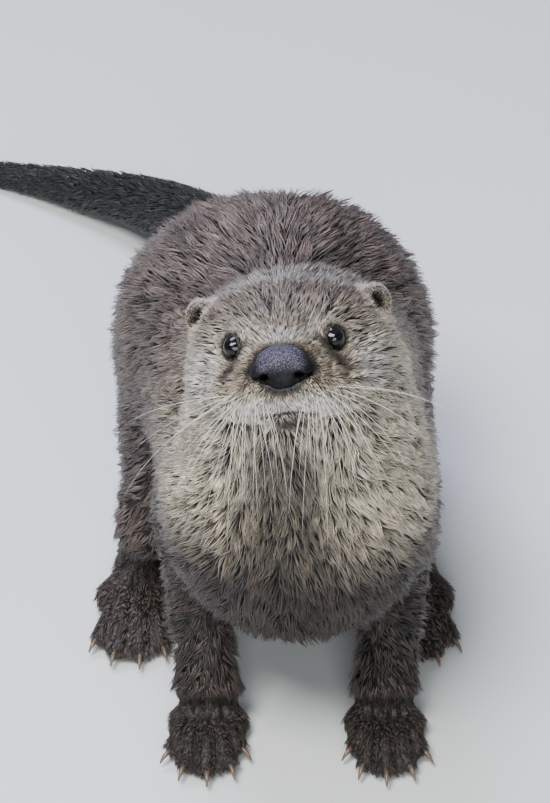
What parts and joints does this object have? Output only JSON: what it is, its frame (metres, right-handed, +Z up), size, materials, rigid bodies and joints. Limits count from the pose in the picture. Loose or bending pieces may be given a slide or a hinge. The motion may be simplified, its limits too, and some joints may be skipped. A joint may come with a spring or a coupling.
{
  "type": "river otter",
  "caption": "Life-size still river otter crouched on its feet with an arched back, looking up, its long tapering tail laid on the floor behind.",
  "frame": {"origin": "centre of the floor outline of the whole animal, on the floor that its feet and tail rest on", "axes": "+Z up, -Y the way the otter faces, +X the otter's left; +Y runs back along the body to the tail"},
  "size_m": [0.4112, 0.7044, 0.3135],
  "materials": {
    "coat": "damp fur in fine pointed locks, pale on the face, throat and chest, dark brown on the back and near black on the tail",
    "nose": "bare pebbled nose pad, moist",
    "eye": "wet dark brown eyeball",
    "claw": "semi-gloss horn"
  },
  "bodies": {
    "root": {"chest": "coat", "head": "coat", "left_ear": "coat", "left_eye": "eye", "left_foot": "coat", "left_foot_claw_1": "claw", "left_foot_claw_2": "claw", "left_foot_claw_3": "claw", "left_foot_claw_4": "claw", "left_foot_claw_5": "claw", "left_fore_leg": "coat", "left_hind_leg": "coat", "left_paw": "coat", "left_paw_claw_1": "claw", "left_paw_claw_2": "claw", "left_paw_claw_3": "claw", "left_paw_claw_4": "claw", "left_paw_claw_5": "claw", "loins": "coat", "neck": "coat", "nose": "nose", "right_ear": "coat", "right_eye": "eye", "right_foot": "coat", "right_foot_claw_1": "claw", "right_foot_claw_2": "claw", "right_foot_claw_3": "claw", "right_foot_claw_4": "claw", "right_foot_claw_5": "claw", "right_fore_leg": "coat", "right_hind_leg": "coat", "right_paw": "coat", "right_paw_claw_1": "claw", "right_paw_claw_2": "claw", "right_paw_claw_3": "claw", "right_paw_claw_4": "claw", "right_paw_claw_5": "claw", "rump": "coat", "tail_middle": "coat", "tail_root": "coat", "tail_tip": "coat"}
  },
  "joints": []
}
